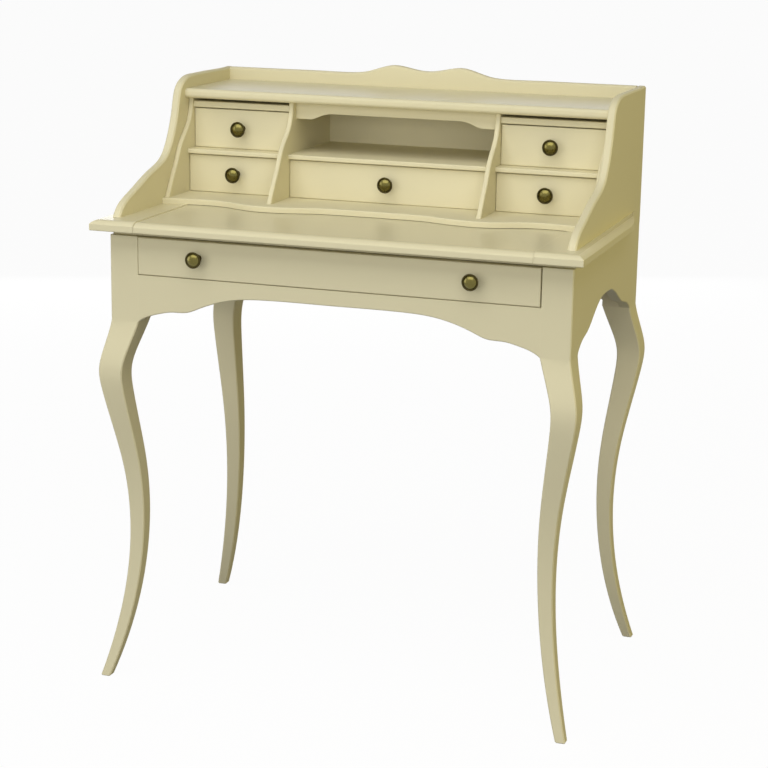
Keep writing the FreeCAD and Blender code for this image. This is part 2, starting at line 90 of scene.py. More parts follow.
class DeskArrises(bpy.types.PropertyGroup):
    """How far each kind of board is rounded over."""
    leg: FloatProperty(
        name="Leg", description="Rounding of the legs' arrises", default=1.1 * MM, unit="LENGTH")
    apron: FloatProperty(
        name="Apron", description="Rounding of the aprons' lower arris", default=0.75 * MM, unit="LENGTH")
    gallery: FloatProperty(
        name="Gallery", description="Rounding of scroll ends and crest", default=1.6 * MM, unit="LENGTH")
    nest: FloatProperty(
        name="Nest", description="Rounding of the nest's boards", default=0.9 * MM, unit="LENGTH")
    floor: FloatProperty(
        name="Nest floor", description="Rounding of the nest floor's curved front", default=2.2 * MM,
        unit="LENGTH")
    drawer: FloatProperty(
        name="Drawer front", description="Rounding of the drawer fronts", default=0.6 * MM, unit="LENGTH")
    top: FloatProperty(
        name="Top", description="Rounding of the top's edges and joints", default=0.9 * MM, unit="LENGTH")
    board: FloatProperty(
        name="Plain board", description="Easing of a plain board's edges", default=0.5 * MM, unit="LENGTH")
    steps: IntProperty(
        name="Steps", description="Facets across each rounded arris", default=3, min=1, max=8)


class DeskPaint(bpy.types.PropertyGroup):
    """The satin paint on the outside of the desk."""
    cream: FloatVectorProperty(
        name="Cream", description="Colour of the paint", subtype="COLOR", size=3,
        default=(0.700, 0.643, 0.425))
    # Lighter than the cream: paint worn thin on the arrises, and a painted highlight along them.
    worn_and_highlight: FloatVectorProperty(
        name="Worn and highlighted arris", description="Colour where the paint is thin", subtype="COLOR", size=3,
        default=(0.765, 0.705, 0.470))
    # How strongly the arrises take that lighter colour of wear and painted highlight.
    wear_and_highlight: FloatProperty(
        name="Wear and highlight", description="How much the arrises show wear", default=0.3, min=0.0, max=1.0,
        subtype="FACTOR")
    roughness: FloatProperty(
        name="Roughness", description="Roughness of the satin coat", default=0.6, min=0.0, max=1.0,
        subtype="FACTOR")
    gloss: FloatProperty(
        name="Gloss", description="Strength of the satin coat's sheen", default=0.16, min=0.0, max=1.0,
        subtype="FACTOR")
    marks: FloatProperty(
        name="Brush marks", description="How plainly the brush marks stand up", default=0.5, min=0.0,
        max=1.0, subtype="FACTOR")
    top_roughness: FloatProperty(
        name="Top roughness", description="Roughness of the polished writing surface", default=0.26,
        min=0.0, max=1.0, subtype="FACTOR")
    top_gloss: FloatProperty(
        name="Top gloss", description="Strength of the writing surface's sheen", default=0.4, min=0.0,
        max=1.0, subtype="FACTOR")
    top_marks: FloatProperty(
        name="Top marks", description="How plainly brush marks stand up on the writing surface",
        default=0.06, min=0.0, max=1.0, subtype="FACTOR")
    brush_depth: FloatProperty(
        name="Brush depth", description="Height of the brush marks", default=0.012 * MM, unit="LENGTH")
    tone: FloatProperty(
        name="Tone", description="How unevenly the colour lies", default=0.012, min=0.0, max=0.2,
        subtype="FACTOR")


class DeskBoxWood(bpy.types.PropertyGroup):
    """The bare wood of drawer boxes and runners."""
    light: FloatVectorProperty(
        name="Early wood", description="Lighter bands of the grain", subtype="COLOR", size=3,
        default=(0.480, 0.310, 0.160))
    dark: FloatVectorProperty(
        name="Late wood", description="Darker bands of the grain", subtype="COLOR", size=3,
        default=(0.290, 0.165, 0.075))
    roughness: FloatProperty(
        name="Roughness", description="Roughness of the waxed wood", default=0.58, min=0.0, max=1.0,
        subtype="FACTOR")


class DeskKnobs(bpy.types.PropertyGroup):
    """The turned knobs."""
    bronze: FloatVectorProperty(
        name="Bronze", description="Colour of the metal on the dome", subtype="COLOR", size=3,
        default=(0.132, 0.112, 0.018))
    # Dark finish of the rim, neck and base: patina in the hollows, with painted shade in the neck and base
    # and a painted dark reflection on the rim.
    patina_and_shade: FloatVectorProperty(
        name="Patina and shade", description="Colour of the dark rim, neck and base", subtype="COLOR", size=3,
        default=(0.046, 0.036, 0.010))
    rubbed: FloatVectorProperty(
        name="Rubbed", description="Colour where hands have rubbed the metal", subtype="COLOR", size=3,
        default=(0.240, 0.200, 0.085))
    roughness: FloatProperty(
        name="Roughness", description="Roughness of the dome", default=0.26, min=0.0, max=1.0,
        subtype="FACTOR")
    rim_roughness: FloatProperty(
        name="Rim roughness", description="Roughness of the rim, neck and base", default=0.45, min=0.0,
        max=1.0, subtype="FACTOR")
    lacquer: FloatProperty(
        name="Lacquer", description="How much clear lacquer covers the dome", default=0.35, min=0.0,
        max=1.0, subtype="FACTOR")
    facets: IntProperty(
        name="Facets", description="Facets round each knob", default=56, min=12, max=128)


class DeskStudio(bpy.types.PropertyGroup):
    """Floor, lamps and background."""
    key_watts: FloatProperty(
        name="Key lamp", description="Power of the wide lamp in front", default=76.0, min=0.0, unit="POWER")
    top_watts: FloatProperty(
        name="Top lamp", description="Power of the lamp overhead", default=56.0, min=0.0, unit="POWER")
    side_watts: FloatProperty(
        name="Side lamp", description="Power of the warm lamp on the right", default=28.5, min=0.0,
        unit="POWER")
    left_watts: FloatProperty(
        name="Left lamp", description="Power of the weak lamp on the left", default=20.0, min=0.0,
        unit="POWER")
    rear_watts: FloatProperty(
        name="Rear lamp", description="Power of the low lamp behind", default=40.0, min=0.0, unit="POWER")
    warmth: FloatVectorProperty(
        name="Warmth", description="Tint of the side lamp and the sky", subtype="COLOR", size=3,
        default=(1.0, 0.85, 0.18))
    sky_light: FloatProperty(
        name="Sky light", description="Strength of the even light from all round", default=0.013, min=0.0)
    floor_size: FloatProperty(
        name="Floor", description="Length of the floor's side", default=90.0, unit="LENGTH")
    floor_white: FloatProperty(
        name="Floor white", description="Share of the floor that shows as plain white", default=0.965,
        min=0.0, max=1.0, subtype="FACTOR")


# --- shader node groups ---

def new_group(name, inputs, outputs):
    """An empty shader node group; each socket is a name, a type and, for an input, a default."""
    group = bpy.data.node_groups.new(name, "ShaderNodeTree")
    for label, kind, default in inputs:
        socket = group.interface.new_socket(label, in_out="INPUT", socket_type=kind)
        socket.default_value = default
    for label, kind in outputs:
        group.interface.new_socket(label, in_out="OUTPUT", socket_type=kind)
    entry = group.nodes.new("NodeGroupInput")
    leave = group.nodes.new("NodeGroupOutput")
    return group, entry, leave


def feed(tree, socket, value):
    """Set a socket to a number, or link another socket to it."""
    if isinstance(value, (int, float)):
        socket.default_value = value
    else:
        tree.links.new(value, socket)


def math_node(tree, operation, first, second):
    """A math node between two sockets or numbers; returns its output."""
    node = tree.nodes.new("ShaderNodeMath")
    node.operation = operation
    feed(tree, node.inputs[0], first)
    feed(tree, node.inputs[1], second)
    return node.outputs[0]


def spread(tree, value, low, high):
    """The value, 0 to 1, stretched between low and high."""
    node = tree.nodes.new("ShaderNodeMapRange")
    feed(tree, node.inputs["Value"], value)
    feed(tree, node.inputs["To Min"], low)
    feed(tree, node.inputs["To Max"], high)
    return node.outputs["Result"]


def plain_colour(tree, colour):
    """A colour of its own; returns its output."""
    node = tree.nodes.new("ShaderNodeRGB")
    node.outputs[0].default_value = (*colour, 1.0)
    return node.outputs[0]


def blend_colours(tree, factor, first, second):
    """A mix of two colour sockets; returns its output."""
    node = tree.nodes.new("ShaderNodeMix")
    node.data_type = "RGBA"
    tree.links.new(factor, node.inputs["Factor"])
    # A Mix node has its colours at inputs 6 and 7 and the mixed colour at output 2.
    tree.links.new(first, node.inputs[6])
    tree.links.new(second, node.inputs[7])
    return node.outputs[2]


def noise(tree, place, scale, detail):
    """Noise at a place socket; returns its factor."""
    node = tree.nodes.new("ShaderNodeTexNoise")
    node.inputs["Scale"].default_value = scale
    node.inputs["Detail"].default_value = detail
    tree.links.new(place, node.inputs["Vector"])
    return node.outputs["Fac"]


def stretched_place(tree, stretch):
    """The point on the piece, squeezed by a vector socket so that marks run long across it."""
    place = tree.nodes.new("ShaderNodeTexCoord")
    squeeze = tree.nodes.new("ShaderNodeVectorMath")
    squeeze.operation = "MULTIPLY"
    tree.links.new(place.outputs["Object"], squeeze.inputs[0])
    tree.links.new(stretch, squeeze.inputs[1])
    return squeeze.outputs["Vector"]


def make_arris_wear_and_highlight():
    """Mask that is 1 along sharp turns of the surface and breaks up unevenly; on paint it lays wear and a
    painted highlight on the arrises, on metal it marks rubbing.
    """
    group, entry, leave = new_group(
        "Worn and highlighted arrises",
        (("Width", "NodeSocketFloat", 1.6 * MM), ("Amount", "NodeSocketFloat", 0.5)),
        (("Mask", "NodeSocketFloat"),),
    )
    rounded = group.nodes.new("ShaderNodeBevel")
    rounded.samples = 4
    group.links.new(entry.outputs["Width"], rounded.inputs["Radius"])
    surface = group.nodes.new("ShaderNodeNewGeometry")
    facing = group.nodes.new("ShaderNodeVectorMath")
    facing.operation = "DOT_PRODUCT"
    group.links.new(rounded.outputs["Normal"], facing.inputs[0])
    group.links.new(surface.outputs["Normal"], facing.inputs[1])
    crispness = 14.0
    least_wear_and_highlight = 0.35
    turn = math_node(group, "SUBTRACT", 1.0, facing.outputs["Value"])
    edge = math_node(group, "MINIMUM", math_node(group, "MULTIPLY", turn, crispness), 1.0)
    place = group.nodes.new("ShaderNodeTexCoord")
    patches = noise(group, place.outputs["Object"], scale=42.0, detail=3.0)
    mask = math_node(group, "MULTIPLY", edge, spread(group, patches, least_wear_and_highlight, 1.0))
    group.links.new(math_node(group, "MULTIPLY", mask, entry.outputs["Amount"]), leave.inputs["Mask"])
    return group


def make_brush_marks():
    """Long fine marks that a brush leaves in paint, with a slow unevenness of tone."""
    group, entry, leave = new_group(
        "Brush marks",
        (("Stretch", "NodeSocketVector", (1.0, 1.0, 1.0)), ("Tone", "NodeSocketFloat", 0.05)),
        (("Height", "NodeSocketFloat"), ("Shade", "NodeSocketFloat")),
    )
    place = stretched_place(group, entry.outputs["Stretch"])
    coarse_share = 0.7
    coarse = noise(group, place, scale=150.0, detail=2.0)
    fine = noise(group, place, scale=420.0, detail=1.0)
    coarse_part = math_node(group, "MULTIPLY", coarse, coarse_share)
    fine_part = math_node(group, "MULTIPLY", fine, 1.0 - coarse_share)
    group.links.new(math_node(group, "ADD", coarse_part, fine_part), leave.inputs["Height"])
    slow = noise(group, place, scale=26.0, detail=3.0)
    low = math_node(group, "SUBTRACT", 1.0, entry.outputs["Tone"])
    high = math_node(group, "ADD", 1.0, entry.outputs["Tone"])
    group.links.new(spread(group, slow, low, high), leave.inputs["Shade"])
    return group


def make_wood_grain():
    """Bands of early and late wood that run along the board."""
    group, entry, leave = new_group(
        "Wood grain",
        (
            ("Stretch", "NodeSocketVector", (1.0, 1.0, 1.0)),
            ("Early", "NodeSocketColor", (0.5, 0.3, 0.15, 1.0)),
            ("Late", "NodeSocketColor", (0.3, 0.16, 0.07, 1.0)),
        ),
        (("Color", "NodeSocketColor"), ("Height", "NodeSocketFloat")),
    )
    place = stretched_place(group, entry.outputs["Stretch"])
    bands = group.nodes.new("ShaderNodeTexWave")
    bands.inputs["Scale"].default_value = 34.0
    bands.inputs["Distortion"].default_value = 7.0
    bands.inputs["Detail"].default_value = 3.0
    group.links.new(place, bands.inputs["Vector"])
    palest_pore = 0.6
    pores = noise(group, place, scale=900.0, detail=2.0)
    figure = math_node(group, "MULTIPLY", bands.outputs["Fac"], spread(group, pores, palest_pore, 1.0))
    colour = blend_colours(group, figure, entry.outputs["Early"], entry.outputs["Late"])
    group.links.new(colour, leave.inputs["Color"])
    group.links.new(pores, leave.inputs["Height"])
    return group


def place_group(material, group, values):
    """A group node in the material with its inputs set."""
    node = material.node_tree.nodes.new("ShaderNodeGroup")
    node.node_tree = group
    for label, value in values.items():
        node.inputs[label].default_value = value
    return node


# --- materials ---

def new_material(name):
    """A material and its Principled BSDF."""
    material = bpy.data.materials.new(name)
    material.use_nodes = True
    return material, material.node_tree.nodes["Principled BSDF"]


def raise_surface(material, shader, height, depth, strength):
    """Bump the shader's normal by a height socket."""
    bump = material.node_tree.nodes.new("ShaderNodeBump")
    bump.inputs["Distance"].default_value = depth
    bump.inputs["Strength"].default_value = strength
    material.node_tree.links.new(height, bump.inputs["Height"])
    material.node_tree.links.new(bump.outputs["Normal"], shader.inputs["Normal"])


def along(axis):
    """Stretch that makes marks run along one axis, 0 for x, 1 for y and 2 for z."""
    squeeze_along = 0.03
    stretch = [1.0, 1.0, 1.0]
    stretch[axis] = squeeze_along
    return stretch


def make_paint(name, axis, roughness, gloss, marks):
    """Cream paint, brushed along one axis, thin on the arrises and lighter there with a painted highlight."""
    look = bpy.context.scene.desk_paint
    material, shader = new_material(name)
    tree = material.node_tree
    shader.inputs["Specular IOR Level"].default_value = gloss
    brush = place_group(material, bpy.data.node_groups["Brush marks"], {
        "Stretch": along(axis), "Tone": look.tone})
    wear_and_highlight = place_group(material, bpy.data.node_groups["Worn and highlighted arrises"], {
        "Width": 1.6 * MM, "Amount": look.wear_and_highlight})
    toned = tree.nodes.new("ShaderNodeVectorMath")
    toned.operation = "SCALE"
    tree.links.new(plain_colour(tree, look.cream), toned.inputs[0])
    tree.links.new(brush.outputs["Shade"], toned.inputs["Scale"])
    # The lighter arris colour: worn paint, and a painted highlight.
    worn_and_highlight = plain_colour(tree, look.worn_and_highlight)
    colour = blend_colours(tree, wear_and_highlight.outputs["Mask"], toned.outputs["Vector"], worn_and_highlight)
    tree.links.new(colour, shader.inputs["Base Color"])
    vary = 0.08 * marks
    sheen = spread(tree, brush.outputs["Height"], roughness - vary, roughness + vary)
    tree.links.new(sheen, shader.inputs["Roughness"])
    raise_surface(material, shader, brush.outputs["Height"], depth=look.brush_depth, strength=marks)
    return material


def make_box_wood(name, axis):
    """Waxed bare wood with its grain along one axis."""
    look = bpy.context.scene.desk_box_wood
    material, shader = new_material(name)
    grain = place_group(material, bpy.data.node_groups["Wood grain"], {
        "Stretch": along(axis), "Early": (*look.light, 1.0), "Late": (*look.dark, 1.0)})
    tree = material.node_tree
    vary = 0.08
    tree.links.new(grain.outputs["Color"], shader.inputs["Base Color"])
    sheen = spread(tree, grain.outputs["Height"], look.roughness - vary, look.roughness + vary)
    tree.links.new(sheen, shader.inputs["Roughness"])
    raise_surface(material, shader, grain.outputs["Height"], depth=0.1 * MM, strength=0.4)
    return material


def make_bronze(name, metal, roughness, lacquer):
    """Antique metal, blotched by handling and rubbed lighter on its turns."""
    look = bpy.context.scene.desk_knobs
    material, shader = new_material(name)
    tree = material.node_tree
    wear_and_highlight = place_group(material, bpy.data.node_groups["Worn and highlighted arrises"], {"Width": 0.8 * MM, "Amount": 0.5})
    place = tree.nodes.new("ShaderNodeTexCoord")
    blotch = noise(tree, place.outputs["Object"], scale=160.0, detail=4.0)
    most_handled = 0.25
    shown = math_node(tree, "MAXIMUM", wear_and_highlight.outputs["Mask"], spread(tree, blotch, 0.0, most_handled))
    colour = blend_colours(tree, shown, plain_colour(tree, metal), plain_colour(tree, look.rubbed))
    tree.links.new(colour, shader.inputs["Base Color"])
    smoothest = roughness - 0.05
    roughest = roughness + 0.08
    tree.links.new(spread(tree, blotch, smoothest, roughest), shader.inputs["Roughness"])
    shader.inputs["Metallic"].default_value = 1.0
    shader.inputs["Coat Weight"].default_value = lacquer
    shader.inputs["Coat Roughness"].default_value = 0.12
    raise_surface(material, shader, blotch, depth=0.02 * MM, strength=0.4)
    return material


def make_finishes():
    """Every group and material of the desk, each built once."""
    paint = bpy.context.scene.desk_paint
    knobs = bpy.context.scene.desk_knobs
    make_arris_wear_and_highlight()
    make_brush_marks()
    make_wood_grain()
    for axis, letter in enumerate("xyz"):
        make_paint(f"paint_along_{letter}", axis, paint.roughness, paint.gloss, paint.marks)
        make_box_wood(f"box_wood_along_{letter}", axis)
    for axis, letter in enumerate("xy"):
        make_paint(f"polished_along_{letter}", axis, paint.top_roughness, paint.top_gloss, paint.top_marks)
    make_bronze("rubbed_bronze", knobs.bronze, knobs.roughness, knobs.lacquer)
    # The dark finish: patina, with painted shade in the neck and base and a painted dark reflection on the
    # rim.
    make_bronze("dark_bronze", knobs.patina_and_shade, knobs.rim_roughness, 0.0)


# --- boards ---

def turn_of(edge):
    """Angle in degrees between the two faces at an edge, or 0 at a loose edge."""
    if len(edge.link_faces) != 2:
        return 0.0
    return math.degrees(edge.calc_face_angle(0.0))


def separate_boards(mesh):
    """The faces of each closed board, as corner points. The mesh holds its boards one after another."""
    boards = [[]]
    unmatched = Counter()
    for face in mesh.polygons:
        corners = [mesh.vertices[index].co.copy() for index in face.vertices]
        boards[-1].append(corners)
        places = [tuple(round(value, 6) for value in corner) for corner in corners]
        for start, end in zip(places, places[1:] + places[:1]):
            if unmatched[end, start] > 0:
                unmatched[end, start] -= 1
            else:
                unmatched[start, end] += 1
        unmatched = +unmatched
        if not unmatched:
            boards.append([])
    return [board for board in boards if board]


def joined_form(node):
    """The node's form with its seams closed and its flat faces whole; boards that only touch stay apart."""
    work = bmesh.new()
    for faces in separate_boards(NODES[node].data):
        board = bmesh.new()
        for corners in faces:
            board.faces.new([board.verts.new(corner) for corner in corners])
        bmesh.ops.remove_doubles(board, verts=board.verts, dist=SEAM)
        bmesh.ops.dissolve_limit(board, angle_limit=math.radians(FLAT_TURN), verts=board.verts,
                                 edges=board.edges)
        mesh = bpy.data.meshes.new("board")
        board.to_mesh(mesh)
        board.free()
        work.from_mesh(mesh)
        bpy.data.meshes.remove(mesh)
    return work


def round_over(work, arrises, width, steps):
    """Round the given edges of the form."""
    bmesh.ops.bevel(work, geom=arrises, offset=width, offset_type="OFFSET", segments=steps, profile=0.5,
                    affect="EDGES", clamp_overlap=True)


def finished_mesh(name, work, crisp_turn):
    """The form as a mesh that shades smoothly but for edges that turn further than crisp_turn degrees."""
    mesh = bpy.data.meshes.new(name)
    work.to_mesh(mesh)
    work.free()
    mesh.shade_smooth()
    mesh.set_sharp_from_angle(angle=math.radians(crisp_turn))
    return mesh


def shaped_mesh(name, node, width, steps, turns):
    """The node's form with every arris whose turn lies between the two given turns rounded over."""
    low, high = turns
    work = joined_form(node)
    arrises = [edge for edge in work.edges if low < turn_of(edge) < high]
    if not arrises:
        raise RuntimeError(f"{node} has no arris between {low} and {high} degrees")
    round_over(work, arrises, width, steps)
    return finished_mesh(name, work, BOARD_CRISP_TURN)


def board_from_outline(name, node, width, steps):
    """A thin board cut to the outline of its underside, its curved front's upper arris rounded."""
    low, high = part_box(node)
    form = joined_form(node)
    underside = min(form.faces, key=lambda face: face.normal.z * face.calc_area())
    outline = [corner.co.copy() for corner in underside.verts]
    form.free()
    work = bmesh.new()
    base = work.faces.new([work.verts.new(point) for point in outline])
    raised = bmesh.ops.extrude_face_region(work, geom=[base], use_keep_orig=True)["geom"]
    upper = [part for part in raised if isinstance(part, bmesh.types.BMVert)]
    bmesh.ops.translate(work, verts=upper, vec=(0.0, 0.0, high.z - low.z))
    least_run = 0.5 * MM
    front = [part for part in raised if isinstance(part, bmesh.types.BMEdge)
             and max(vert.co.y for vert in part.verts) < (low.y + high.y) / 2
             and abs(part.verts[0].co.x - part.verts[1].co.x) > least_run]
    if not front:
        raise RuntimeError(f"{node} has no curved front to round")
    round_over(work, front, width, steps)
    bmesh.ops.recalc_face_normals(work, faces=work.faces)
    return finished_mesh(name, work, BOARD_CRISP_TURN)


def add_piece(name, mesh, material, *nodes):
    """Put a finished mesh in the scene in place of its CAD nodes."""
    piece = bpy.data.objects.new(name, mesh)
    bpy.context.scene.collection.objects.link(piece)
    mesh.materials.append(bpy.data.materials[material])
    level = piece.modifiers.new("even shading", "WEIGHTED_NORMAL")
    level.keep_sharp = True
    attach(piece, BODY_OF[nodes[0]])
    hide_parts(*nodes)
    return piece


def rounded_board(node, width, material, turns):
    """A board with the arrises of the given turns rounded."""
    steps = bpy.context.scene.desk_arrises.steps
    mesh = shaped_mesh(f"{node}_finished", node, width, steps, turns)
    return add_piece(f"{node}_finished", mesh, material, node)


def chamfered_board(node, width, material):
    """A board whose cut arrises are rounded, while its joints to other boards stay tight."""
    return rounded_board(node, width, material, CUT_ARRIS)


def square_board(node, width, material):
    """A board whose square edges are all eased."""
    return rounded_board(node, width, material, ANY_ARRIS)


def lay_grain_along(piece, woods):
    """Give each separate board of the piece the wood whose grain runs along it."""
    mesh = piece.data
    mesh.materials.clear()
    for name in woods:
        mesh.materials.append(bpy.data.materials[name])
    work = bmesh.new()
    work.from_mesh(mesh)
    left = set(work.faces)
    while left:
        board = {left.pop()}
        waiting = list(board)
        while waiting:
            face = waiting.pop()
            beside = {other for edge in face.edges for other in edge.link_faces} & left
            left -= beside
            board |= beside
            waiting.extend(beside)
        corners = [vert.co for face in board for vert in face.verts]
        lengths = [max(co[axis] for co in corners) - min(co[axis] for co in corners) for axis in range(3)]
        for face in board:
            face.material_index = lengths.index(max(lengths))
    work.to_mesh(mesh)
    work.free()


def satin_moulding(piece, material):
    """Keep the polish on the flat of a board and give its moulded edge another finish."""
    piece.data.materials.append(bpy.data.materials[material])
    for face in piece.data.polygons:
        if face.normal.z < POLISHED_RISE:
            face.material_index = 1


# --- knobs ---

def arc(middle, radius, start, end, count):
    """Points of (radius, depth) on an arc, from one angle in degrees to another."""
    turns = [math.radians(start + (end - start) * step / count) for step in range(count + 1)]
    return [(middle[0] + radius * math.cos(turn), middle[1] + radius * math.sin(turn)) for turn in turns]


def rim_profile(head, depth):
    """Half section of a knob's base, neck and rim, as distances from the axis and from the drawer."""
    base = head * 0.46
    neck = head * 0.31
    bead = 1.4 * MM
    rim_middle = depth - 6.6 * MM
    outline = [(0.0, 0.0), (base, 0.0), (base, 1.0 * MM), (base * 0.93, 1.6 * MM)]
    outline += [(neck * 1.4, 2.9 * MM), (neck * 1.08, 4.4 * MM), (neck, 8.0 * MM), (neck * 1.04, 11.6 * MM)]
    outline += [(neck * 1.4, 13.8 * MM), (head * 0.62, 15.9 * MM)]
    outline.append((head * 0.8, rim_middle - bead - 1.0 * MM))
    outline += arc((head - bead, rim_middle), bead, -80.0, 150.0, 12)
    outline.append((head - DOME_INSET, rim_middle + 0.5 * MM))
    return outline


def dome_profile(head, depth):
    """Half section of a knob's dome, from its groove inside the rim to its tip."""
    edge = head - DOME_INSET
    rise = 5.0 * MM
    tip = depth - 1.1 * MM
    sphere = (edge ** 2 + rise ** 2) / (2 * rise)
    widest = math.degrees(math.asin(edge / sphere))
    return arc((0.0, tip - sphere), sphere, 90.0 - widest, 90.0, 14)


def turn_profile(work, profile, centre, facets, finish):
    """Turn a profile about the line through centre that runs along y; its faces get the finish's number."""
    before = set(work.faces)
    points = [work.verts.new((centre.x + out, centre.y - depth, centre.z)) for out, depth in profile]
    edges = [work.edges.new(pair) for pair in zip(points, points[1:])]
    bmesh.ops.spin(work, geom=points + edges, cent=centre, axis=(0.0, 1.0, 0.0), angle=math.tau,
                   steps=facets, use_merge=True, use_duplicate=False)
    for face in set(work.faces) - before:
        face.material_index = finish


def bolt_profile(thickness):
    """Half section of a bolt: its shank through the drawer front and its domed head behind."""
    shank = 2.0 * MM
    head = 4.5 * MM
    back = -thickness
    return [(0.0, 0.0), (shank, 0.0), (shank, back), (head, back), (head, back - 1.3 * MM),
            (head * 0.7, back - 2.1 * MM), (0.0, back - BOLT_HEAD_HEIGHT)]


def turned_knobs(name, node, count):
    """The knobs of one drawer with their bolts."""
    look = bpy.context.scene.desk_knobs
    low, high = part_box(node)
    head = (high.z - low.z) / 2
    front_face = low.y + KNOB_DEPTH
    thickness = high.y - BOLT_HEAD_HEIGHT - front_face
    # Finish numbers: the dome's bronze, and the dark finish of rim, neck, base and bolt, which is patina with
    # painted shade and a painted dark reflection on the rim.
    bright = 0
    dark = 1
    work = bmesh.new()
    places = [low.x + head, high.x - head][:count]
    for x in places:
        centre = Vector((x, front_face, (low.z + high.z) / 2))
        turn_profile(work, dome_profile(head, KNOB_DEPTH), centre, look.facets, bright)
        turn_profile(work, rim_profile(head, KNOB_DEPTH), centre, look.facets, dark)
        turn_profile(work, bolt_profile(thickness), centre, look.facets // 2, dark)
    same_point = 0.002 * MM
    bmesh.ops.remove_doubles(work, verts=work.verts, dist=same_point)
    bmesh.ops.recalc_face_normals(work, faces=work.faces)
    mesh = finished_mesh(name, work, KNOB_CRISP_TURN)
    piece = add_piece(name, mesh, "rubbed_bronze", node)
    mesh.materials.append(bpy.data.materials["dark_bronze"])
    return piece


# --- operators ---

class DESK_OT_finishes(bpy.types.Operator):
    """Build the paint, wood and metal"""
    bl_idname = "desk.finishes"
    bl_label = "Finishes"

    def execute(self, context):
        make_finishes()
        return {"FINISHED"}


class DESK_OT_legs(bpy.types.Operator):
    """Round the arrises of the four cabriole legs and paint them"""
    bl_idname = "desk.legs"
    bl_label = "Legs"

    def execute(self, context):
        for node in ("leg_front_left", "leg_front_right", "leg_rear_left", "leg_rear_right"):
            chamfered_board(node, context.scene.desk_arrises.leg, "paint_along_z")
        return {"FINISHED"}


class DESK_OT_aprons(bpy.types.Operator):
    """Round the serpentine lower arris of each apron and paint it"""
    bl_idname = "desk.aprons"
    bl_label = "Aprons"

    def execute(self, context):
        width = context.scene.desk_arrises.apron
        for node in ("front_apron", "back_apron"):
            chamfered_board(node, width, "paint_along_x")
        for node in ("side_apron_left", "side_apron_right"):
            chamfered_board(node, width, "paint_along_y")
        return {"FINISHED"}


class DESK_OT_carcass_frame(bpy.types.Operator):
    """Ease and finish the bearers, runners and stops inside the carcass"""
    bl_idname = "desk.carcass_frame"
    bl_label = "Carcass frame"

    def execute(self, context):
        width = context.scene.desk_arrises.board
        for node in ("front_bearer", "rear_bearer"):
            square_board(node, width, "paint_along_x")
        for node in ("side_bearer_left", "side_bearer_right"):
            square_board(node, width, "paint_along_y")
        for node in ("drawer_runner_left", "drawer_runner_right", "drawer_stops"):
            lay_grain_along(square_board(node, width, "box_wood_along_y"), BOX_WOODS)
        return {"FINISHED"}


class DESK_OT_top(bpy.types.Operator):
    """Ease and polish the fixed ends and the rear rail of the top"""
    bl_idname = "desk.top"
    bl_label = "Fixed top"

    def execute(self, context):
        width = context.scene.desk_arrises.top
        for node in ("top_end_left", "top_end_right"):
            satin_moulding(square_board(node, width, "polished_along_y"), "paint_along_y")
        satin_moulding(square_board("rear_top_rail", width, "polished_along_x"), "paint_along_x")
        return {"FINISHED"}


class DESK_OT_writing_slide(bpy.types.Operator):
    """Ease and polish the pull-out writing slide and its batten"""
    bl_idname = "desk.writing_slide"
    bl_label = "Writing slide"

    def execute(self, context):
        arrises = context.scene.desk_arrises
        slide = square_board("writing_slide", arrises.top, "polished_along_x")
        satin_moulding(slide, "paint_along_x")
        square_board("slide_batten", arrises.board, "box_wood_along_x")
        return {"FINISHED"}


class DESK_OT_gallery(bpy.types.Operator):
    """Round and paint the scroll ends, the crested back board and the shelf"""
    bl_idname = "desk.gallery"
    bl_label = "Gallery"

    def execute(self, context):
        arrises = context.scene.desk_arrises
        for node in ("scroll_end_left", "scroll_end_right"):
            chamfered_board(node, arrises.gallery, "paint_along_y")
        chamfered_board("gallery_back", arrises.gallery, "paint_along_x")
        satin_moulding(square_board("gallery_shelf", arrises.board, "polished_along_x"), "paint_along_x")
        return {"FINISHED"}


class DESK_OT_nest(bpy.types.Operator):
    """Round and paint the floor, uprights, shelves and valance of the nest"""
    bl_idname = "desk.nest"
    bl_label = "Nest"

    def execute(self, context):
        arrises = context.scene.desk_arrises
        floor = board_from_outline("nest_floor_finished", "nest_floor", arrises.floor, arrises.steps)
        add_piece("nest_floor_finished", floor, "paint_along_x", "nest_floor")
        for side in ("left", "right"):
            for board in ("nest_side", "nest_divider"):
                chamfered_board(f"{board}_{side}", arrises.nest, "paint_along_z")
            for board in ("mid_shelf", "letter_board"):
                square_board(f"{board}_{side}", arrises.board, "paint_along_x")
        square_board("centre_shelf", arrises.board, "paint_along_x")
        square_board("valance", arrises.board, "paint_along_x")
        return {"FINISHED"}


class DESK_OT_drawer_fronts(bpy.types.Operator):
    """Round and paint the six drawer fronts"""
    bl_idname = "desk.drawer_fronts"
    bl_label = "Drawer fronts"

    def execute(self, context):
        for name in ("frieze", *NEST_DRAWERS):
            chamfered_board(f"{name}_drawer_front", context.scene.desk_arrises.drawer, "paint_along_x")
        return {"FINISHED"}


class DESK_OT_drawer_boxes(bpy.types.Operator):
    """Ease the boards of the drawer boxes and give them bare wood"""
    bl_idname = "desk.drawer_boxes"
    bl_label = "Drawer boxes"

    def execute(self, context):
        boards = [f"{name}_drawer_tray" for name in NEST_DRAWERS]
        boards += [f"frieze_drawer_{part}" for part in ("side_left", "side_right", "bottom", "back")]
        for node in boards:
            piece = square_board(node, context.scene.desk_arrises.board, "box_wood_along_y")
            lay_grain_along(piece, BOX_WOODS)
        return {"FINISHED"}


class DESK_OT_knobs(bpy.types.Operator):
    """Turn the seven knobs and their bolts"""
    bl_idname = "desk.knobs"
    bl_label = "Knobs"

    def execute(self, context):
        for name in NEST_DRAWERS:
            turned_knobs(f"{name}_drawer_knob_turned", f"{name}_drawer_knob", 1)
        turned_knobs("frieze_drawer_knobs_turned", "frieze_drawer_knobs", 2)
        return {"FINISHED"}


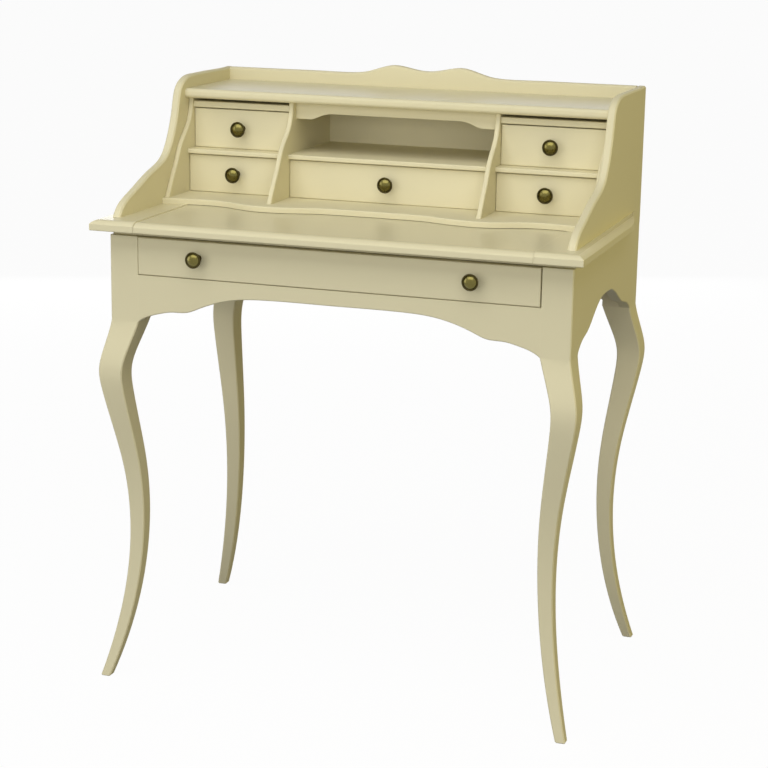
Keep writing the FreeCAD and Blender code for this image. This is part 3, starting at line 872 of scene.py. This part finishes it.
# --- studio ---

def whitened(tree, surface, white, share):
    """A surface or light that shows a share of white to the camera, in reflections and through glass."""
    path = tree.nodes.new("ShaderNodeLightPath")
    seen = math_node(tree, "MAXIMUM", path.outputs["Is Camera Ray"], path.outputs["Is Glossy Ray"])
    seen = math_node(tree, "MAXIMUM", seen, path.outputs["Is Transmission Ray"])
    mixer = tree.nodes.new("ShaderNodeMixShader")
    tree.links.new(math_node(tree, "MULTIPLY", seen, share), mixer.inputs["Fac"])
    tree.links.new(surface, mixer.inputs[1])
    tree.links.new(white, mixer.inputs[2])
    return mixer.outputs["Shader"]


def make_floor(size, white):
    """A plain pale floor that keeps the desk's shadow."""
    bpy.ops.mesh.primitive_plane_add(size=size)
    floor = bpy.context.object
    floor.name = "floor"
    material, shader = new_material("studio_floor")
    shader.inputs["Roughness"].default_value = 0.9
    shader.inputs["Specular IOR Level"].default_value = 0.0
    tree = material.node_tree
    path = tree.nodes.new("ShaderNodeLightPath")
    shade_for_light = 0.12
    shade_for_eye = 0.85
    shade = spread(tree, path.outputs["Is Camera Ray"], shade_for_light, shade_for_eye)
    tree.links.new(shade, shader.inputs["Base Color"])
    glow = tree.nodes.new("ShaderNodeEmission")
    look = whitened(tree, shader.outputs["BSDF"], glow.outputs["Emission"], white)
    tree.links.new(look, tree.nodes["Material Output"].inputs["Surface"])
    floor.data.materials.append(material)


def make_sky(strength, tint):
    """Even light from all round, plain white where it is seen."""
    world = bpy.data.worlds.new("studio")
    world.use_nodes = True
    bpy.context.scene.world = world
    tree = world.node_tree
    light = tree.nodes["Background"]
    light.inputs["Color"].default_value = (*tint, 1.0)
    light.inputs["Strength"].default_value = strength
    plain = tree.nodes.new("ShaderNodeBackground")
    plain.inputs["Color"].default_value = (1.0, 1.0, 1.0, 1.0)
    plain.inputs["Strength"].default_value = 1.0
    look = whitened(tree, light.outputs["Background"], plain.outputs["Background"], 1.0)
    tree.links.new(look, tree.nodes["World Output"].inputs["Surface"])


def add_lamp(name, watts, colour, place, target, size, mirrored=True):
    """A soft rectangular lamp that faces a point. It is out of the picture, and out of reflections
    too unless it is mirrored."""
    data = bpy.data.lights.new(name, "AREA")
    data.shape = "RECTANGLE"
    data.size, data.size_y = size
    data.energy = watts
    data.color = colour
    lamp = bpy.data.objects.new(name, data)
    bpy.context.scene.collection.objects.link(lamp)
    lamp.location = place
    lamp.rotation_euler = (Vector(target) - Vector(place)).to_track_quat("-Z", "Y").to_euler()
    lamp.visible_camera = False
    lamp.visible_glossy = mirrored


def add_camera():
    """The camera that sees the desk from the sitter's right."""
    place = Vector((1.0574, -3.1478, 1.2991))
    frame_pixels = 768
    focal_pixels = 2040.3
    middle_x = 382.5
    middle_y = 386.7
    yaw = 0.3223
    pitch = -0.2419
    roll = 0.0172
    ahead = Vector((-math.sin(yaw) * math.cos(pitch), math.cos(yaw) * math.cos(pitch), math.sin(pitch)))
    level = Vector((math.cos(yaw), math.sin(yaw), 0.0))
    upward = level.cross(ahead)
    right = math.cos(roll) * level + math.sin(roll) * upward
    above = math.cos(roll) * upward - math.sin(roll) * level
    data = bpy.data.cameras.new("camera")
    data.sensor_width = 36.0
    data.lens = focal_pixels / frame_pixels * data.sensor_width
    data.shift_x = (frame_pixels / 2 - middle_x) / frame_pixels
    data.shift_y = (middle_y - frame_pixels / 2) / frame_pixels
    camera = bpy.data.objects.new("camera", data)
    bpy.context.scene.collection.objects.link(camera)
    turn = Matrix((right, above, -ahead)).transposed().to_4x4()
    camera.matrix_world = Matrix.Translation(place) @ turn
    bpy.context.scene.camera = camera


class DESK_OT_studio(bpy.types.Operator):
    """Set up the floor, the sky, the lamps and the camera"""
    bl_idname = "desk.studio"
    bl_label = "Studio"

    def execute(self, context):
        studio = context.scene.desk_studio
        make_floor(studio.floor_size, studio.floor_white)
        white = (1.0, 1.0, 1.0)
        warm = tuple(studio.warmth)
        make_sky(studio.sky_light, warm)
        add_lamp("key lamp", studio.key_watts, white, place=(0.2, -3.4, 1.35), target=(0.0, 0.0, 0.9),
                 size=(5.0, 2.0), mirrored=False)
        add_lamp("top lamp", studio.top_watts, white, place=(0.0, -1.6, 3.0), target=(0.0, -0.5, 0.0),
                 size=(3.6, 2.1))
        add_lamp("side lamp", studio.side_watts, warm, place=(3.2, 0.2, 1.3), target=(0.0, 0.0, 0.7),
                 size=(2.0, 2.0))
        add_lamp("left lamp", studio.left_watts, white, place=(-3.0, -1.0, 1.2), target=(0.0, 0.0, 0.7),
                 size=(2.0, 2.0))
        add_lamp("rear lamp", studio.rear_watts, white, place=(-1.4, 3.2, 0.7), target=(0.0, 0.0, 0.6),
                 size=(3.2, 1.2))
        add_camera()
        context.scene.view_settings.view_transform = "Standard"
        return {"FINISHED"}


class DESK_PT_panel(bpy.types.Panel):
    """Lists the steps that dress the desk"""
    bl_idname = "DESK_PT_panel"
    bl_label = "Writing desk"
    bl_space_type = "VIEW_3D"
    bl_region_type = "UI"
    bl_category = "Desk"

    def draw(self, context):
        for operator in OPERATORS:
            self.layout.operator(operator.bl_idname)


OPERATORS = (
    DESK_OT_finishes, DESK_OT_legs, DESK_OT_aprons, DESK_OT_carcass_frame, DESK_OT_top, DESK_OT_writing_slide,
    DESK_OT_gallery, DESK_OT_nest, DESK_OT_drawer_fronts, DESK_OT_drawer_boxes, DESK_OT_knobs, DESK_OT_studio,
)
SETTINGS = {
    "desk_arrises": DeskArrises, "desk_paint": DeskPaint, "desk_box_wood": DeskBoxWood,
    "desk_knobs": DeskKnobs, "desk_studio": DeskStudio,
}


def register():
    for group in (*SETTINGS.values(), *OPERATORS, DESK_PT_panel):
        bpy.utils.register_class(group)
    for name, group in SETTINGS.items():
        setattr(bpy.types.Scene, name, PointerProperty(type=group))


def unregister():
    for name in SETTINGS:
        delattr(bpy.types.Scene, name)
    for group in reversed((*SETTINGS.values(), *OPERATORS, DESK_PT_panel)):
        bpy.utils.unregister_class(group)


def main():
    register()
    bpy.ops.desk.finishes()
    bpy.ops.desk.legs()
    bpy.ops.desk.aprons()
    bpy.ops.desk.carcass_frame()
    bpy.ops.desk.top()
    bpy.ops.desk.writing_slide()
    bpy.ops.desk.gallery()
    bpy.ops.desk.nest()
    bpy.ops.desk.drawer_fronts()
    bpy.ops.desk.drawer_boxes()
    bpy.ops.desk.knobs()
    bpy.ops.desk.studio()


if __name__ == "__main__":
    main()
